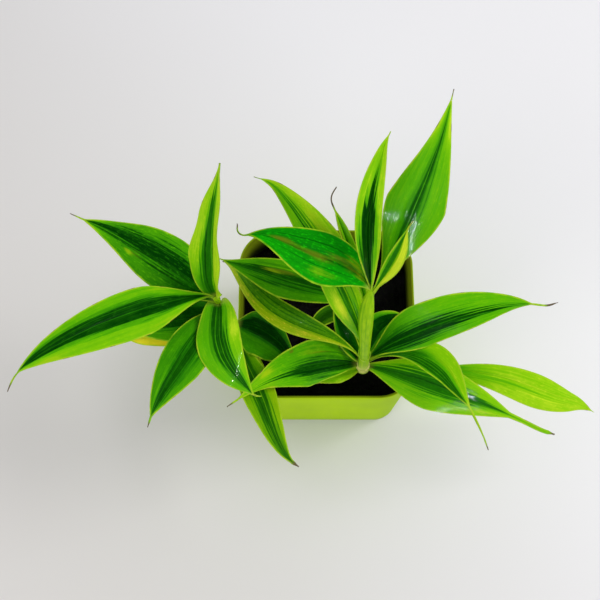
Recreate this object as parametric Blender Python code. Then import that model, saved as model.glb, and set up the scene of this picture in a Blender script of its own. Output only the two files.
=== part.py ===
"""Potted lucky bamboo: two leafy shoots standing in the soil of a square pot.

Lengths are in millimetres and angles in degrees until they reach Blender, which gets metres.
The origin is the middle of the pot's underside, +Z is up and -Y is the front.
"""
import bmesh
import bpy
import numpy as np

MM = 0.001
SHARP_ANGLE = 40.0

# Pot
POT_HEIGHT = 100.0
RIM_WIDTH = 120.0
BASE_WIDTH = 110.0
RIM_CORNER = 26.0
BASE_CORNER = 17.0
WALL = 2.2
FLOOR = 3.0
LIP_DEPTH = 3.5
LIP_STEP = 0.5
EDGE_ROUND = 0.7
EDGE_CUT = 0.21
FOOT_ROUND = 2.5
FOOT_TURNS = (30, 60, 90)
CORNER_STEPS = 9

# Soil
SOIL_TOP = 78.0
SOIL_GAP = 0.4
SOIL_SINK = 1.0
SOIL_MOUND = 1.6
MOUND_REACH = 60.0
DIP_WIDE = 0.7
DIP_NARROW = 0.4
SOIL_RINGS = 9
INNER_RING = 0.6
HOLE_GAP = 0.5
HOLE_BOTTOM = 38.0
HOLE_RISE = 12.0
HOLE_SIDES = 20

# Stems
STEM_FOOT = 39.0
STEM_MIDWAY = 60.0
STEM_SIDES = 16
AXIS_STEPS = 201
FOOT_RADIUS = 3.7
CROWN_RADIUS = 1.6
SHEATH_FLARE = 0.5
SHEATH_NECK = 5.0
NODE_STEP = 0.4
TIP_RINGS = ((0.0, 1.0), (0.8, 0.9), (1.6, 0.7), (2.2, 0.45), (2.6, 0.2))

# Leaf curves, as shares of the leaf's length where no unit is given
ROOT_SHARE = 0.45
SHEATH_RISE = 78.0
SHEATH_SHARE = 0.10
EVEN_BEND = 0.45
SWAY_POWER = 1.3
HOOK_START = 0.86
HOOK_SHARE = 0.12
ROLL_SHARE = 0.3
TWIST_MIDDLE = 0.4
FINE_STEPS = 240

# Leaf cross section
SKIN = 0.8
RIB_SKIN = 0.35
THREAD_FLOOR = 1.2
THREAD_TAPER = 0.55
THREAD_POINT = 0.04
THREAD_END = 0.35
POINT_POWER = 1.15
CLASP_FOLD = 50.0
CLASP_SHARE = 0.07
FOLD_EASE = 0.55
STEEPEST_FOLD = 72.0
EDGE_SHIFT = 0.31
STATIONS = (0.0, 0.03, 0.07, 0.12, 0.18, 0.25, 0.33, 0.41, 0.49, 0.57,
            0.65, 0.73, 0.80, 0.86, 0.91, 0.95, 1.0)
COLUMNS = (-1.0, -0.55, 0.0, 0.55, 1.0)


def clear_scene():
    """Start from an empty scene."""
    for item in list(bpy.data.objects):
        bpy.data.objects.remove(item, do_unlink=True)


def material(name, color, roughness, coat=0.0):
    """Plain principled surface."""
    made = bpy.data.materials.new(name)
    made.use_nodes = True
    shader = made.node_tree.nodes["Principled BSDF"]
    shader.inputs["Base Color"].default_value = (*color, 1.0)
    shader.inputs["Roughness"].default_value = roughness
    shader.inputs["Coat Weight"].default_value = coat
    made.diffuse_color = (*color, 1.0)
    return made


def mesh_object(name, points, faces, surface):
    """Closed body from points in millimetres, with its faces turned outward."""
    mesh = bpy.data.meshes.new(name)
    mesh.from_pydata((np.asarray(points) * MM).tolist(), [], faces)
    mesh.update()
    work = bmesh.new()
    work.from_mesh(mesh)
    bmesh.ops.recalc_face_normals(work, faces=work.faces)
    work.to_mesh(mesh)
    work.free()
    mesh.materials.append(surface)
    made = bpy.data.objects.new(name, mesh)
    bpy.context.scene.collection.objects.link(made)
    return made


def smooth_faces(item):
    """Shade round faces smooth and keep the sharp edges."""
    item.data.shade_smooth()
    item.data.set_sharp_from_angle(angle=np.radians(SHARP_ANGLE))


def smoothstep(x):
    """Ease from 0 to 1."""
    x = np.clip(x, 0.0, 1.0)
    return x * x * (3.0 - 2.0 * x)


def combine(target, others, operation):
    """Apply one Boolean of the target with a set of bodies, then remove the set."""
    group = bpy.data.collections.new("boolean_set")
    bpy.context.scene.collection.children.link(group)
    for other in others:
        bpy.context.scene.collection.objects.unlink(other)
        group.objects.link(other)
    change = target.modifiers.new("boolean", "BOOLEAN")
    change.operation = operation
    change.operand_type = "COLLECTION"
    change.collection = group
    change.solver = "EXACT"
    bpy.context.view_layer.update()
    graph = bpy.context.evaluated_depsgraph_get()
    result = bpy.data.meshes.new_from_object(target.evaluated_get(graph), depsgraph=graph)
    target.modifiers.clear()
    surface = target.data.materials[0]
    target.data = result
    result.materials.clear()
    result.materials.append(surface)
    for other in list(group.objects):
        bpy.data.objects.remove(other, do_unlink=True)
    bpy.data.collections.remove(group)


# Rings

def rounded_square(width, corner, height):
    """Ring of points of a square with round corners."""
    reach = width / 2 - corner
    ring = []
    for start, sx, sy in ((0, 1, 1), (90, -1, 1), (180, -1, -1), (270, 1, -1)):
        for step in range(CORNER_STEPS + 1):
            turn = np.radians(start + 90 * step / CORNER_STEPS)
            ring.append((sx * reach + corner * np.cos(turn), sy * reach + corner * np.sin(turn), height))
    return np.array(ring)


def disc(centre, radius, sides):
    """Level ring of points round a centre."""
    turn = np.linspace(0.0, 2 * np.pi, sides, endpoint=False)
    x = centre[0] + radius * np.cos(turn)
    y = centre[1] + radius * np.sin(turn)
    return np.stack([x, y, np.full(sides, centre[2])], 1)


def stacked(rings):
    """Closed body from rings of equal count, with one face over each end."""
    points = np.concatenate(rings)
    count = len(rings[0])
    faces = []
    for level in range(len(rings) - 1):
        low = level * count
        for k in range(count):
            after = (k + 1) % count
            faces.append((low + k, low + after, low + count + after, low + count + k))
    last = (len(rings) - 1) * count
    faces.append(tuple(range(count))[::-1])
    faces.append(tuple(range(last, last + count)))
    return points, faces


# Pot and soil

def pot_ring(height, inset):
    """Ring of the tapering wall at a height, moved inward from the outer face."""
    share = height / POT_HEIGHT
    width = BASE_WIDTH + (RIM_WIDTH - BASE_WIDTH) * share
    corner = BASE_CORNER + (RIM_CORNER - BASE_CORNER) * share
    return rounded_square(width - 2 * inset, corner - inset, height)


def build_pot():
    """Thin-walled pot with a rounded foot and a small lip inside the rim."""
    top = POT_HEIGHT
    inner = WALL - LIP_STEP
    rings = [pot_ring(0.0, FOOT_ROUND)]
    for turn in np.radians(FOOT_TURNS):
        rings.append(pot_ring(FOOT_ROUND * (1 - np.cos(turn)), FOOT_ROUND * (1 - np.sin(turn))))
    rings.append(pot_ring(top - EDGE_ROUND, 0.0))
    rings.append(pot_ring(top - EDGE_CUT, EDGE_CUT))
    rings.append(pot_ring(top, EDGE_ROUND))
    rings.append(pot_ring(top, inner - EDGE_ROUND / 2))
    rings.append(pot_ring(top - EDGE_ROUND / 2, inner))
    rings.append(pot_ring(top - LIP_DEPTH, inner))
    rings.append(pot_ring(top - LIP_DEPTH - LIP_STEP, WALL))
    rings.append(pot_ring(FLOOR + FOOT_ROUND, WALL))
    rings.append(pot_ring(FLOOR, WALL + FOOT_ROUND))
    points, faces = stacked(rings)
    surface = material("pot_lime_plastic", (0.42, 0.70, 0.03), 0.25, 0.4)
    smooth_faces(mesh_object("pot", points, faces, surface))


def soil_height(x, y):
    """Top of the soil: a low mound with shallow dips."""
    swell = SOIL_MOUND * (1 - (x * x + y * y) / MOUND_REACH ** 2)
    wide = DIP_WIDE * np.sin(x * 0.19 + 1.3) * np.cos(y * 0.23 - 0.4)
    narrow = DIP_NARROW * np.sin(x * 0.41 - y * 0.37)
    return SOIL_TOP - SOIL_SINK + swell + wide + narrow


def soil_wall_ring(height, inset):
    """Ring of the soil block beside the pot's wall."""
    return pot_ring(height, WALL + SOIL_GAP + inset)


def soil_top_ring(share):
    """Ring of the soil's top, drawn in toward the middle."""
    ring = soil_wall_ring(SOIL_TOP, 0.0)
    ring[:, :2] *= share
    ring[:, 2] = soil_height(ring[:, 0], ring[:, 1])
    return ring


def build_hole(shoot):
    """Round plug that leaves a hole a little wider than the stem."""
    rings = []
    for level, flare in ((HOLE_BOTTOM, 0.0), (SOIL_TOP, 0.0), (SOIL_TOP + HOLE_RISE, SHEATH_FLARE)):
        rings.append(disc(stem_axis(shoot, level), FOOT_RADIUS + HOLE_GAP + flare, HOLE_SIDES))
    points, faces = stacked(rings)
    return mesh_object("hole_" + shoot["name"], points, faces, material("hole", (0.5, 0.5, 0.5), 0.5))


def build_soil():
    """Block of soil that fills the pot, with two plain holes for the shoots."""
    foot = FLOOR + SOIL_GAP
    rings = [soil_wall_ring(foot, FOOT_ROUND), soil_wall_ring(foot + FOOT_ROUND, 0.0)]
    for step in range(SOIL_RINGS):
        rings.append(soil_top_ring(1.0 - step / (SOIL_RINGS - 1 + INNER_RING)))
    points, faces = stacked(rings)
    soil = mesh_object("potting_soil", points, faces, material("soil_dark", (0.012, 0.009, 0.007), 0.95))
    combine(soil, [build_hole(shoot) for shoot in SHOOTS], "DIFFERENCE")
    smooth_faces(soil)


# Stems

def stem_axis(shoot, height):
    """Point of the stem's curved axis at a height above the table."""
    foot, bend, crown = (np.array(shoot[key], float) for key in ("foot", "bend", "crown"))
    if height <= foot[2]:
        return np.array([foot[0], foot[1], height])
    t = np.linspace(0.0, 1.0, AXIS_STEPS)[:, None]
    curve = (1 - t) ** 2 * foot + 2 * t * (1 - t) * bend + t ** 2 * crown
    lean = curve[-1] - curve[-2]
    if height >= crown[2]:
        return curve[-1] + lean * (height - crown[2]) / lean[2]
    return np.array([np.interp(height, curve[:, 2], curve[:, axis]) for axis in range(3)])


def stem_radius(shoot, height):
    """Stem radius: a slow taper, with each leaf sheath flaring up to its leaf."""
    crown = shoot["crown"][2]
    share = np.clip((height - SOIL_TOP) / (crown - SOIL_TOP), 0.0, 1.0)
    radius = FOOT_RADIUS + (CROWN_RADIUS - FOOT_RADIUS) * share
    if height < SOIL_TOP:
        return radius
    nodes = [SOIL_TOP] + list(shoot["nodes"])
    for low, high in zip(nodes, nodes[1:]):
        if low <= height < high:
            radius += SHEATH_FLARE * (height - low) / (high - low)
    return radius


def build_stem(shoot, surface):
    """Upright stem ringed by leaf sheaths, ending in a blunt growing tip."""
    top = shoot["top"]
    levels = [STEM_FOOT, STEM_MIDWAY, SOIL_TOP]
    for node in shoot["nodes"]:
        levels += [node - SHEATH_NECK, node - NODE_STEP, node + NODE_STEP]
    levels = sorted(set(level for level in levels if level < top))
    rings = [disc(stem_axis(shoot, level), stem_radius(shoot, level), STEM_SIDES) for level in levels]
    for rise, share in TIP_RINGS:
        rings.append(disc(stem_axis(shoot, top + rise), CROWN_RADIUS * share, STEM_SIDES))
    points, faces = stacked(rings)
    return mesh_object(shoot["name"], points, faces, surface)


# Leaves

def directions(rise, head):
    """Unit vectors along a leaf from its elevations and headings in radians."""
    return np.stack([np.cos(rise) * np.cos(head), np.cos(rise) * np.sin(head), np.sin(rise)], 1)


def midrib(form, stations):
    """Midrib points, elevations and headings at shares of the leaf's length."""
    s = (np.arange(FINE_STEPS) + 0.5) / FINE_STEPS
    bend = EVEN_BEND * s + (1 - EVEN_BEND) * smoothstep(s)
    rise = form["launch"] + (form["fall"] - form["launch"]) * bend
    rise = rise + (SHEATH_RISE - rise) * (1 - smoothstep(s / SHEATH_SHARE)) * form["clasp"]
    head = form["compass"] + form["sway"] * np.clip(s / form["turn"], 0, 1) ** SWAY_POWER
    head = head + form["hook"] * smoothstep((s - HOOK_START) / HOOK_SHARE)
    head = head + form["bow"] * np.sin(2 * np.pi * s)
    rise = np.radians(rise)
    head = np.radians(head)
    steps = np.cumsum(directions(rise, head), 0) * form["length"] / FINE_STEPS
    path = np.vstack([np.zeros((1, 3)), steps])
    ends = np.linspace(0.0, 1.0, FINE_STEPS + 1)
    points = np.stack([np.interp(stations, ends, path[:, axis]) for axis in range(3)], 1)
    return points, np.interp(stations, s, rise), np.interp(stations, s, head)


def half_widths(form, s):
    """Half width along the leaf: narrow neck, belly, long point, thread-like drip tip."""
    u = np.clip(s / (1 - form["drip"]), 0.0, 1.0)
    growth = np.sin(np.pi / 2 * np.clip(u / form["belly"], 0, 1)) ** form["swell"]
    lower = form["neck"] + (1 - form["neck"]) * growth
    t = np.clip((u - form["belly"]) / (1 - form["belly"]), 0.0, 1.0)
    upper = (1 - t ** form["blunt"]) ** POINT_POWER
    width = np.where(u < form["belly"], lower, upper) * form["width"]
    point = np.clip((1 - s) / THREAD_POINT, THREAD_END, 1)
    thread = np.maximum(form["tail"] * (1 - THREAD_TAPER * s) * point, THREAD_FLOOR)
    return np.maximum(width, thread) / 2


def leaf_root(form):
    """Where the midrib starts, just inside the stem's surface."""
    turn = np.radians(form["compass"])
    outward = np.array([np.cos(turn), np.sin(turn), 0.0])
    shoot = SHOOT_BY_NAME[form["shoot"]]
    reach = ROOT_SHARE * stem_radius(shoot, form["height"])
    return stem_axis(shoot, form["height"]) + reach * outward


def blade_grid(form, stations, columns):
    """Middle surface of a blade: folded, arched and waved across its midrib."""
    s = np.asarray(stations, float)
    points, rise, head = midrib(form, s)
    flat = np.stack([-np.sin(head), np.cos(head), np.zeros_like(head)], 1)
    above = np.cross(directions(rise, head), flat)
    roll = (form["roll"] + form["twist"] * (s - TWIST_MIDDLE)) * smoothstep(s / ROLL_SHARE)
    roll = np.radians(roll)[:, None]
    side = flat * np.cos(roll) + above * np.sin(roll)
    above = above * np.cos(roll) - flat * np.sin(roll)
    half = half_widths(form, s)
    hug = CLASP_FOLD * np.exp(-(s / CLASP_SHARE) ** 2) * form["clasp"]
    fold = np.radians(np.minimum(form["fold"] * (1 - FOLD_EASE * s) + hug, STEEPEST_FOLD))
    grid = np.zeros((len(s), len(columns), 3))
    for j, v in enumerate(columns):
        cycle = form["waves"] * s + EDGE_SHIFT * np.sign(v) + form["phase"]
        ripple = form["wave"] * v * v * np.sin(2 * np.pi * cycle) * np.sin(np.pi * s)
        out = half * v * (1 + form["skew"] * np.sign(v)) * np.cos(fold)
        up = half * (abs(v) * np.sin(fold) - form["arch"] * v * v) + ripple
        grid[:, j] = points + side * out[:, None] + above * up[:, None]
    return grid + leaf_root(form)


def blade_faces(rows, cols):
    """Triangles of two skins split alike, and of the narrow edge between them."""
    under = rows * cols
    faces = []
    for i in range(rows - 1):
        for j in range(cols - 1):
            a = i * cols + j
            b = a + cols
            faces += [(a, b, b + 1), (a, b + 1, a + 1)]
            faces += [(under + a, under + b + 1, under + b), (under + a, under + a + 1, under + b + 1)]
    rim = [(i * cols + j, (i + 1) * cols + j) for j in (0, cols - 1) for i in range(rows - 1)]
    rim += [(i * cols + j, i * cols + j + 1) for i in (0, rows - 1) for j in range(cols - 1)]
    for a, b in rim:
        faces += [(a, b, under + b), (a, under + b, under + a)]
    return faces


def build_blade(form, surface):
    """Closed thin blade, thicker along the midrib."""
    grid = blade_grid(form, STATIONS, COLUMNS)
    normal = np.cross(np.gradient(grid, axis=0), np.gradient(grid, axis=1))
    normal /= np.linalg.norm(normal, axis=2, keepdims=True)
    rib = RIB_SKIN * (1 - np.abs(np.array(COLUMNS)))[None, :, None]
    upper = grid + normal * SKIN / 2
    lower = grid - normal * (SKIN / 2 + rib)
    points = np.concatenate([upper.reshape(-1, 3), lower.reshape(-1, 3)])
    return mesh_object(form["name"], points, blade_faces(*grid.shape[:2]), surface)


# sway: turn of the midrib along the leaf
# turn: share of the length over which it sways
# hook: late turn near the tip
# bow: turn to one side and back again, for a leaf bent like an S
# fold: how steeply both halves rise from the midrib
# roll, twist: lean of the blade to one side, and its change along the leaf
# arch: how much both edges droop, as a share of the half width
# wave, waves, phase: height, count and start of the edge waves
# skew: how much wider the left half is than the right one
# belly: where the leaf is broadest
# neck, swell: width at the base, and how late it grows to full width
# blunt: how full the leaf stays toward its point
# drip: share of the length that is a thread-like tip
# tail: width of that thread in millimetres
# clasp: how far the base hugs the stem
PLAIN_LEAF = {
    "sway": 0.0,
    "turn": 1.0,
    "hook": 0.0,
    "bow": 0.0,
    "fold": 10.0,
    "roll": 0.0,
    "twist": 0.0,
    "arch": 0.18,
    "wave": 1.2,
    "waves": 2.5,
    "phase": 0.0,
    "skew": 0.0,
    "belly": 0.40,
    "neck": 0.26,
    "swell": 1.5,
    "blunt": 1.7,
    "drip": 0.08,
    "tail": 1.1,
    "clasp": 1.0,
}

LEFT = "left_leafy_shoot"
RIGHT = "right_leafy_shoot"
SHOOTS = (
    {
        "name": LEFT,
        "foot": (-46, -34, 78),
        "bend": (-63, -18, 143),
        "crown": (-66, -25, 208),
        "top": 200,
        "nodes": (92, 108, 126, 143, 160, 178),
    },
    {
        "name": RIGHT,
        "foot": (25, -32, 78),
        "bend": (20, -59, 145),
        "crown": (21, -22, 217),
        "top": 214,
        "nodes": (94, 104, 112, 120, 134, 154, 178),
    },
)
SHOOT_BY_NAME = {shoot["name"]: shoot for shoot in SHOOTS}


def leaf(name, shoot, height, compass, launch, fall, length, width, **changes):
    """Form of one leaf: where it leaves the stem, how it arches and how broad it grows."""
    form = dict(PLAIN_LEAF)
    form.update(name=name, shoot=shoot, height=height, compass=compass)
    form.update(launch=launch, fall=fall, length=length, width=width)
    form.update(changes)
    return form


LEAVES = (
    # Left shoot, crown
    leaf("left_spear", LEFT, 198, 86, 83, 37, 93, 27, sway=-10, hook=6, fold=36, roll=-40, skew=0.23,
         belly=0.29, neck=0.15, swell=1.2, blunt=2.0, drip=0.01, tail=1.5),
    leaf("left_back", LEFT, 188, 144, 37, -5, 102, 34, sway=20, hook=-11, bow=2, fold=8, roll=5,
         phase=0.2, skew=0.02, neck=0.14, swell=1.6, blunt=1.6),
    leaf("left_long", LEFT, 199, -167, 31, -28, 136, 27, sway=27, hook=24, bow=5, fold=12, roll=-16,
         phase=0.5, skew=0.07, neck=0.05, swell=2.3, blunt=2.0, tail=1.4),
    leaf("left_front", LEFT, 174, -129, 40, -35, 91, 26, sway=22, hook=-2, bow=7, roll=-6, phase=0.1,
         skew=0.05, belly=0.46, neck=0.13, swell=1.7, blunt=1.9, drip=0.06, tail=2.2),
    leaf("left_inner", LEFT, 188, -83, 30, -52, 74, 27, sway=40, hook=55, bow=-12, roll=19, phase=0.7,
         skew=-0.02, belly=0.49, neck=0.16, swell=0.5, blunt=1.4, tail=1.5),
    # Left shoot, lower leaves
    leaf("left_shaded", LEFT, 166, -167, 28, -55, 74, 30, sway=-15, hook=-33, phase=0.3, neck=0.4),
    leaf("left_yellow", LEFT, 147, -163, 10, -57, 90, 17, sway=-41, hook=-19, phase=0.6),
    leaf("left_blunt", LEFT, 128, -86, 23, -25, 99, 21, sway=45, hook=11, bow=12, fold=14, roll=10,
         phase=0.4, skew=-0.1, belly=0.44, neck=0.14, swell=1.6, drip=0.01, tail=5.0),
    leaf("left_low", LEFT, 142, -7, -13, -48, 59, 31, sway=-67, hook=40, bow=-2, fold=8, roll=-13,
         phase=0.8, belly=0.28, neck=0.05, swell=1.2),
    # Right shoot, crown
    leaf("crown_west", RIGHT, 213, 126, 39, -17, 92, 29, sway=88, hook=-118, bow=19, fold=6, roll=-14,
         phase=0.1, skew=0.15, belly=0.45, neck=0.08, swell=1.2, blunt=1.5, drip=0.12),
    leaf("crown_north", RIGHT, 211, 98, 62, 29, 95, 16, sway=-25, hook=-11, bow=6, fold=40, roll=-1,
         wave=0.6, phase=0.4, skew=0.03, belly=0.45, neck=0.14, blunt=2.4, drip=0.01),
    leaf("crown_broad", RIGHT, 205, 54, 46, 31, 125, 33, sway=26, hook=-3, bow=2, fold=8, roll=14,
         phase=0.9, skew=-0.03, belly=0.52, neck=0.05, swell=3.0, blunt=1.1, drip=0.03),
    leaf("crown_fold", RIGHT, 208, 50, 59, 65, 62, 11, sway=5, hook=-21, bow=-13, fold=42, roll=1,
         wave=0.5, phase=0.2, skew=-0.04, belly=0.55, neck=0.11, swell=2.1, blunt=1.9, drip=0.1),
    leaf("crown_rolled", RIGHT, 192, 109, 42, 36, 81, 10, sway=12, hook=-70, fold=60, roll=6, wave=0.4,
         phase=0.5, belly=0.47, neck=0.14, swell=1.6, blunt=3.0, drip=0.16, tail=0.9),
    # Right shoot, leaves between crown and whorl
    leaf("middle_north", RIGHT, 150, 115, 79, -10, 146, 26, sway=22, hook=21, bow=3, fold=14, roll=-16,
         phase=0.3, skew=-0.05, neck=0.1, swell=2.5, blunt=2.0, drip=0.02),
    leaf("middle_west", RIGHT, 152, 76, 28, -13, 123, 24, sway=91, turn=0.4, hook=-11, bow=6, roll=-6,
         phase=0.6, skew=0.06, belly=0.65, neck=0.07, swell=2.7, blunt=1.4, drip=0.03),
    leaf("young_upper", RIGHT, 122, 140, 58, 6, 50, 12, sway=-44, fold=12, phase=0.2, belly=0.45,
         drip=0.04),
    leaf("narrow_west", RIGHT, 122, 134, 57, -63, 158, 16, sway=20, hook=-21, bow=29, roll=-22,
         phase=0.8, belly=0.45, neck=0.05, swell=2.8, blunt=1.6, drip=0.03),
    leaf("young_lower", RIGHT, 104, 87, 34, -40, 78, 13, sway=157, hook=-2, bow=-17, fold=12, roll=4,
         phase=0.5, belly=0.66, neck=0.14, swell=1.6, drip=0.02),
    # Right shoot, lower whorl
    leaf("whorl_upper", RIGHT, 122, 34, 49, -35, 148, 28, sway=-46, hook=38, bow=-7, fold=8, roll=26,
         wave=1.8, phase=0.1, skew=0.09, neck=0.05, swell=2.4, blunt=1.9, drip=0.15, tail=1.8),
    leaf("whorl_front", RIGHT, 106, -20, 29, -30, 140, 32, sway=-3, hook=13, bow=-3, roll=23, phase=0.7,
         belly=0.47, neck=0.1, swell=1.8, blunt=1.5, drip=0.22, tail=5.5),
    leaf("whorl_bent", RIGHT, 112, 26, 48, -12, 122, 19, sway=-91, turn=0.6, hook=-7, fold=14, roll=26,
         phase=0.4, skew=-0.04, belly=0.62, neck=0.05, swell=3.0, blunt=1.8, drip=0.22, tail=1.7),
    leaf("whorl_long", RIGHT, 91, -25, 26, -36, 174, 22, sway=38, hook=-31, bow=15, fold=8, roll=13,
         phase=0.2, skew=-0.11, belly=0.7, neck=0.05, swell=3.8, blunt=1.8, drip=0.01),
    leaf("whorl_west", RIGHT, 114, -180, 50, -6, 106, 30, sway=51, hook=-14, bow=5, roll=-33, wave=1.8,
         phase=0.5, skew=-0.08, belly=0.49, neck=0.05, blunt=1.1, drip=0.06, tail=2.0),
    leaf("whorl_young", RIGHT, 104, -150, 30, -21, 36, 9, sway=-22, hook=-8, bow=-1, phase=0.1,
         belly=0.47, neck=0.14, swell=1.6, blunt=1.9),
    leaf("whorl_short", RIGHT, 124, 91, 42, -11, 52, 18, sway=-116, phase=0.9, belly=0.45, neck=0.14,
         swell=1.6, blunt=2.0),
)


def build_shoot(shoot, surface):
    """Stem and its leaves fused into one body."""
    stem = build_stem(shoot, surface)
    blades = [build_blade(form, surface) for form in LEAVES if form["shoot"] == shoot["name"]]
    combine(stem, blades, "UNION")
    smooth_faces(stem)


def main():
    """Build every piece of the plant."""
    clear_scene()
    green = material("leaf_green", (0.10, 0.38, 0.03), 0.35, 0.2)
    build_pot()
    build_soil()
    for shoot in SHOOTS:
        build_shoot(shoot, green)


main()
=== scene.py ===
"""Looks of the potted lucky bamboo: fine leaves, stems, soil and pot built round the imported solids.

Lengths are in millimetres and angles in degrees until they reach Blender, which gets metres.
The origin is the middle of the pot's underside, +Z is up and -Y is the front.
"""

import bpy
import numpy as np
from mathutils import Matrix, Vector
from mathutils import noise as perlin


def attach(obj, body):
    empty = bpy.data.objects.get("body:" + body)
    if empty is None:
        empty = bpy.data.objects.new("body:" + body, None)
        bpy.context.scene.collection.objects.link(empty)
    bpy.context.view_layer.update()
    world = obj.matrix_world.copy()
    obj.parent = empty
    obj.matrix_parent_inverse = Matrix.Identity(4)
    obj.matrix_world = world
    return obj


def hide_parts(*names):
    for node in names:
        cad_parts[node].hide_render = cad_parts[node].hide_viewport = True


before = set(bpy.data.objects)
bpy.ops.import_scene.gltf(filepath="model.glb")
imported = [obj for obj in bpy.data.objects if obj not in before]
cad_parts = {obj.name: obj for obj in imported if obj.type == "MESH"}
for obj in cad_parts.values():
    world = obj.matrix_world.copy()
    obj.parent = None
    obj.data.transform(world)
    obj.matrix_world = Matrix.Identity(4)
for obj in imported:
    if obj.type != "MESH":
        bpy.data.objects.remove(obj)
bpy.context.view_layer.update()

MM = 0.001
SHARP_ANGLE = 50.0

# Pot
POT_HEIGHT = 100.0
RIM_WIDTH = 120.0
BASE_WIDTH = 110.0
RIM_CORNER = 26.0
BASE_CORNER = 17.0
WALL = 2.2
FLOOR = 3.0
LIP_DEPTH = 3.5
LIP_STEP = 0.5
EDGE_ROUND = 0.7
FOOT_ROUND = 2.5
CORNER_STEPS = 24
SIDE_STEPS = 12
ROUND_TURNS = (0, 15, 30, 45, 60, 75, 90)

# Soil
SOIL_TOP = 78.0
SOIL_GAP = 0.4
SOIL_SINK = 1.0
SOIL_MOUND = 1.6
MOUND_REACH = 60.0
DIP_WIDE = 0.7
DIP_NARROW = 0.4
SOIL_RINGS = 70
SOIL_RELIEF = 1.1
CRUMB_COUNT = 900
CRUMB_SMALL = 0.5
CRUMB_LARGE = 2.0

# Stems
STEM_FOOT = 39.0
STEM_SIDES = 40
STEM_STEP = 0.8
AXIS_STEPS = 201
FOOT_RADIUS = 3.7
CROWN_RADIUS = 1.6
SHEATH_FLARE = 0.5
NODE_RIDGE = 0.35
NODE_WIDTH = 0.7
TIP_RINGS = ((0.0, 1.0), (0.8, 0.9), (1.6, 0.7), (2.2, 0.45), (2.6, 0.2))
SHEATH_LENGTH = 13.0
SHEATH_REACH = 2.5
SHEATH_DROP = 7.0
SHEATH_SKIN = 0.35
SHEATH_TURN = 165.0
SHEATH_LIMIT = 150.0
FUNNEL_LOW = 104.0
FUNNEL_SPAN = 110.0
FUNNEL_DROP = 4.0
FUNNEL_FOOT = 4.0
FUNNEL_HEAD = 1.8
FUNNEL_FLARE = 2.2
FUNNEL_LEAN = 1.2
FUNNEL_SKEW = 3.6
FUNNEL_FACE = -100.0
FUNNEL_TURN = 130.0
PALE_LEVEL = 118.0
PALE_REACH = 12.0

# Leaf curves, as shares of the leaf's length where no unit is given
ROOT_SHARE = 0.45
SHEATH_RISE = 78.0
SHEATH_SHARE = 0.10
EVEN_BEND = 0.45
SWAY_POWER = 1.3
HOOK_START = 0.86
HOOK_SHARE = 0.12
ROLL_SHARE = 0.3
TWIST_MIDDLE = 0.4
FINE_STEPS = 480

# Leaf cross section
SKIN = 0.5
RIB_SKIN = 0.45
THREAD_TAPER = 0.55
THREAD_POINT = 0.04
THREAD_END = 0.35
POINT_POWER = 1.15
CLASP_FOLD = 50.0
CLASP_SHARE = 0.07
FOLD_EASE = 0.55
STEEPEST_FOLD = 72.0
EDGE_SHIFT = 0.31
CREASE = 0.35
CREASE_WIDTH = 0.09
LENGTH_STEP = 1.1
WIDTH_STEP = 0.75

# Camera and light
CAMERA_PLACE = (-18.0, -187.5, 681.5)
CAMERA_TILT = 18.6
CAMERA_LENS = 54.0
SENSOR = 36.0
WORLD_LIGHT = 0.66
WORLD_GLOSSY = 0.06
WINDOW_POWER = 4.0
CEILING_POWER = 9.0
LAMP_POWER = 2.4

LEFT = "left_leafy_shoot"
RIGHT = "right_leafy_shoot"
SHOOTS = (
    {
        "name": LEFT,
        "foot": (-46, -34, 78),
        "bend": (-63, -18, 143),
        "crown": (-66, -25, 208),
        "top": 200,
        "nodes": (92, 108, 126, 143, 160, 178),
        "slot": "foliage_left",
    },
    {
        "name": RIGHT,
        "foot": (25, -32, 78),
        "bend": (20, -59, 145),
        "crown": (21, -22, 217),
        "top": 214,
        "nodes": (94, 104, 112, 120, 134, 154, 178),
        "slot": "foliage_right",
    },
)
SHOOT_BY_NAME = {shoot["name"]: shoot for shoot in SHOOTS}

# sway: turn of the midrib along the leaf
# turn: share of the length over which it sways
# hook: late turn near the tip
# bow: turn to one side and back again, for a leaf bent like an S
# fold: how steeply both halves rise from the midrib
# roll, twist: lean of the blade to one side, and its change along the leaf
# arch: how much both edges droop, as a share of the half width
# wave, waves, phase: height, count and start of the edge waves
# skew: how much wider the left half is than the right one
# belly: where the leaf is broadest
# neck, swell: width at the base, and how late it grows to full width
# blunt: how full the leaf stays toward its point
# drip: share of the length that is a thread-like tip
# tail: width of that thread in millimetres
# clasp: how far the base hugs the stem
PLAIN_LEAF = {
    "sway": 0.0,
    "turn": 1.0,
    "hook": 0.0,
    "bow": 0.0,
    "fold": 10.0,
    "roll": 0.0,
    "twist": 0.0,
    "arch": 0.18,
    "wave": 1.2,
    "waves": 2.5,
    "phase": 0.0,
    "skew": 0.0,
    "belly": 0.40,
    "neck": 0.26,
    "swell": 1.5,
    "blunt": 1.7,
    "drip": 0.08,
    "tail": 1.1,
    "clasp": 1.0,
}


def leaf(name, shoot, height, compass, launch, fall, length, width, **changes):
    """Form of one leaf: where it leaves the stem, how it arches and how broad it grows."""
    form = dict(PLAIN_LEAF)
    form.update(name=name, shoot=shoot, height=height, compass=compass)
    form.update(launch=launch, fall=fall, length=length, width=width)
    form.update(changes)
    return form


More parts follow.
